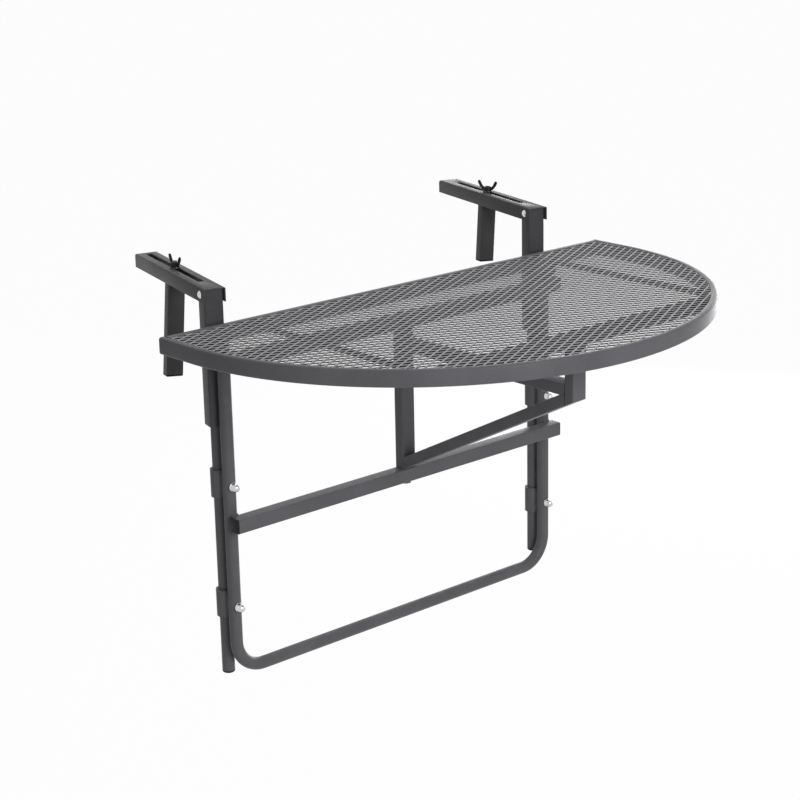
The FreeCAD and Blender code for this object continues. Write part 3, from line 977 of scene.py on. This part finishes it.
# a length of the leaning jaw, which is the jaw itself or the plug in its foot
def addJawLength(name, sideName, bottom, top, edgeWidth):
    reach = hook["jawReach"][sideName]
    lean = math.radians(hook["jawLean"][sideName])
    half = hook["jawWidth"] / 2
    deep = hook["jawDepth"] / 2
    piece = addBlock(name, (-half, reach - deep, bottom), (half, reach + deep, top))
    roundEdges(piece, edgeRuns(2), hook["jawCorner"], hook["tubeSteps"])
    softenEdges(piece, edgeWidth)
    pivot = Vector((0, reach, underTop))
    placePiece(piece, pivot - Matrix.Rotation(lean, 3, "Y") @ pivot, (0, lean, 0))
    return piece


wingNut = {
    "radius": 0.0085,
    "topRadius": 0.0070,
    "height": 0.008,
    "sides": 32,
    "bore": 0.0041,
    "boreDepth": 0.004,
    "thickness": 0.0056,
    "root": (0.003, 0.0095),  # where a wing starts and ends beside the axis
    "low": 0.0004,
    "high": 0.0078,
    "taper": 0.96,
    "lifts": (  # each lift's step, lean in degrees and size
        ((0, 0.0047, 0.0048), 22, 1.0),
        ((0, 0.0037, 0.0060), 24, 1.0),
        ((0, 0.0022, 0.0046), 20, 0.85),
    ),
}


def addWing(turn):
    half = wingNut["thickness"] / 2
    start, end = wingNut["root"]
    wing = addBlock("wing", (-half, start, wingNut["low"]), (half, end, wingNut["high"]))
    openPiece(wing)
    pick(wing, "FACE", faceLooks(1, 1))
    for step, lean, size in wingNut["lifts"]:
        extrudeBy(step)
        centre = selectedCentre(wing)
        bpy.ops.transform.rotate(value=-math.radians(lean), orient_axis="X", center_override=centre)
        bpy.ops.transform.resize(value=(wingNut["taper"], size, size), center_override=centre)
    closePiece()
    rounded = wing.modifiers.new("rounded", "SUBSURF")
    rounded.levels = 2
    rounded.render_levels = 2
    applyAll(wing)
    placePiece(wing, turn=(0, 0, turn))
    return wing


def addWingNut(name):
    selectOnly()
    bpy.ops.mesh.primitive_cone_add(
        vertices=wingNut["sides"],
        radius1=wingNut["radius"],
        radius2=wingNut["topRadius"],
        depth=wingNut["height"],
        location=(0, 0, wingNut["height"] / 2),
    )
    nut = bpy.context.object
    bpy.ops.object.transform_apply(location=True, rotation=True, scale=True)
    openPiece(nut)
    pick(nut, "FACE", faceLooks(2, 1))
    bpy.ops.mesh.inset(thickness=wingNut["topRadius"] - wingNut["bore"])
    extrudeBy((0, 0, -wingNut["boreDepth"]))
    closePiece()
    softenEdges(nut)
    return joinPieces(name, [nut, addWing(0), addWing(math.pi)])


stud = {
    "root": 0.0036,
    "crest": 0.0040,
    "pitch": 0.00125,
    "sides": 20,
    "below": 0.006,
    "above": 0.013,
}


def addStud(name, reach):
    bottom = hook["armHeight"] - stud["below"]
    turns = int((stud["below"] + stud["above"]) / stud["pitch"])
    growth = stud["crest"] / stud["root"]
    bolt = addRing(name, stud["sides"], (stud["root"], stud["root"]), (0, reach, bottom))
    openWhole(bolt, "EDGE")
    for size in (growth, 1 / growth) * turns:
        extrudeBy((0, 0, stud["pitch"] / 2))
        bpy.ops.transform.resize(value=(size, size, 1))
    fillEnds(bolt)
    return bolt


def makeHook(sideName):
    reach = hook["jawReach"][sideName]
    lean = math.radians(hook["jawLean"][sideName])
    jawFoot = -hook["jawLength"][sideName]
    plugTop = jawFoot + hook["plug"]
    jawTop = underTop - hook["topGap"] - hook["jawWidth"] / 2 * math.sin(lean)
    nutBase = hook["armHeight"] + 2 * hook["topGap"] + hook["washer"]
    nut = addWingNut(sideName + "WingNut")
    placePiece(nut, (0, reach, nutBase), (0, 0, math.radians(hook["nutTurn"][sideName])))
    bolt = addStud(sideName + "JawBolt", reach)
    plug = addJawLength(sideName + "JawPlug", sideName, jawFoot, plugTop, hook["plugEdge"])
    post = addHookPost(sideName + "Post")
    arm = addHookArm(sideName + "Arm", hook["armLength"][sideName])
    jaw = addJawLength(sideName + "Jaw", sideName, plugTop, jawTop, softEdge["width"])
    tubeLow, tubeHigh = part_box(sideName + "_hook_tube")
    tubeAxis = ((tubeLow.x + tubeHigh.x) / 2, (tubeLow.y + tubeHigh.y) / 2)
    place = (*tubeAxis, hook["seat"][sideName])
    swivel = (0, 0, -math.radians(hook["swivel"]))
    for piece, node, body, slotName, look in (
        (post, "post", "hook", "coated_steel", hookCoat),
        (arm, "arm", "hook", "coated_steel", hookCoat),
        (jaw, "jaw", "jaw", "coated_steel", hookCoat),
        (plug, "jaw_plug", "jaw", "black_plastic", blackPlastic),
        (nut, "wing_nut", "wing_nut", "dark_nut", darkNut),
        (bolt, "jaw_bolt", "jaw", "zinc", dullZinc),
    ):
        placePiece(piece, place, swivel)
        finishPiece(piece, sideName + "_" + body, look, [sideName + "_" + node])
    for node, body, slotName, look in (
        ("_hook_tube", "_tube", "coated_steel", anthracite),
        ("_tube_end_cap", "_tube", "black_plastic", blackPlastic),
        ("_post_plates", "_hook", "coated_steel", hookCoat),
        ("_arm_bolt", "_hook", "zinc", chrome),
        ("_jaw_washer", "_jaw", "zinc", dullZinc),
    ):
        dressNode(
            sideName + node,
            sideName + body,
            look,
            hook["copyEdge"],
            hook["copySmooth"],
        )


for sideName in sides:
    makeHook(sideName)
print("hooks made")


# floor, light and camera

studio = {
    "floorSize": 60,
    "floorHeight": -1.15,
    "floorColor": (0.85, 0.85, 0.85, 1),
    "floorRoughness": 0.9,
    "floorWhite": 0.97,  # share of plain white in what the camera sees of the floor
    "white": (1, 1, 1, 1),
    "ambient": 0.26,
    "target": (0, -0.25, -0.25),
}


# 1 for what the camera sees, also by reflection, and 0 for what lights the table
def seenAsBackground(tree):
    path = tree.nodes.new("ShaderNodeLightPath")
    return addMath(tree, "MAXIMUM", path.outputs["Is Camera Ray"], path.outputs["Is Glossy Ray"])


def mixShaders(tree, outputName, factor, first, second):
    inputs = {"Fac": factor, 1: first.outputs[0], 2: second.outputs[0]}
    mixed = addNode(tree, "ShaderNodeMixShader", inputs).outputs[0]
    feedNode(tree, tree.nodes[outputName], {"Surface": mixed})


def makeFloor():
    selectOnly()
    place = (0, 0, studio["floorHeight"])
    bpy.ops.mesh.primitive_plane_add(size=studio["floorSize"], location=place)
    floor = bpy.context.object
    floor.name = "floor"
    material = bpy.data.materials.new("paleFloor")
    material.use_nodes = True
    tree = material.node_tree
    lit = tree.nodes["Principled BSDF"]
    feedNode(tree, lit, {"Base Color": studio["floorColor"], "Roughness": studio["floorRoughness"]})
    plain = addNode(tree, "ShaderNodeEmission", {"Strength": 1})
    shown = addRange(tree, seenAsBackground(tree), (0.0, 1.0), (0.0, studio["floorWhite"]))
    mixShaders(tree, "Material Output", shown, lit, plain)
    floor.data.materials.append(material)


def makeWorld():
    world = bpy.data.worlds.new("studio")
    bpy.context.scene.world = world
    world.use_nodes = True
    tree = world.node_tree
    ambient = tree.nodes["Background"]
    feedNode(tree, ambient, {"Color": studio["white"], "Strength": studio["ambient"]})
    plain = addNode(tree, "ShaderNodeBackground", {"Color": studio["white"], "Strength": 1})
    mixShaders(tree, "World Output", seenAsBackground(tree), ambient, plain)


lamps = {  # place, size and power
    "keyLamp": ((-0.45, -3.3, 0.8), 1.5, 56),
    "skyLamp": ((0.5, 0.7, 3.0), 2.0, 30),
    "sideLamp": ((3.3, 0.7, -0.45), 1.6, 24),
    "rearLamp": ((2.9, 1.7, -0.1), 1.8, 32),
}


def addLamp(name, place, size, power):
    lamp = bpy.data.lights.new(name, "AREA")
    lamp.energy = power
    lamp.size = size
    holder = bpy.data.objects.new(name, lamp)
    bpy.context.scene.collection.objects.link(holder)
    holder.location = place
    beam = Vector(studio["target"]) - Vector(place)
    holder.rotation_euler = beam.to_track_quat("-Z", "Y").to_euler()


makeFloor()
makeWorld()
for name, (place, size, power) in lamps.items():
    addLamp(name, place, size, power)

viewer = {
    "place": (-2.1852, -2.5527, 0.7390),
    "yaw": -41.151,
    "pitch": 16.791,
    "roll": -1.2,
    "lens": 88.77,
    "sensor": 36,
}


def makeCamera():
    yaw, pitch, roll = (math.radians(viewer[key]) for key in ("yaw", "pitch", "roll"))
    forward = math.cos(pitch)
    ahead = Vector((-math.sin(yaw) * forward, math.cos(yaw) * forward, -math.sin(pitch)))
    right = Vector((math.cos(yaw), math.sin(yaw), 0))
    above = right.cross(ahead)
    turnedRight = right * math.cos(roll) + above * math.sin(roll)
    turnedUp = above * math.cos(roll) - right * math.sin(roll)
    data = bpy.data.cameras.new("viewer")
    data.lens = viewer["lens"]
    data.sensor_width = viewer["sensor"]
    camera = bpy.data.objects.new("viewer", data)
    bpy.context.scene.collection.objects.link(camera)
    columns = Matrix((turnedRight, turnedUp, -ahead)).transposed()
    camera.matrix_world = Matrix.Translation(viewer["place"]) @ columns.to_4x4()
    bpy.context.scene.camera = camera


makeCamera()
bpy.context.scene.view_settings.view_transform = "Standard"
selectOnly()
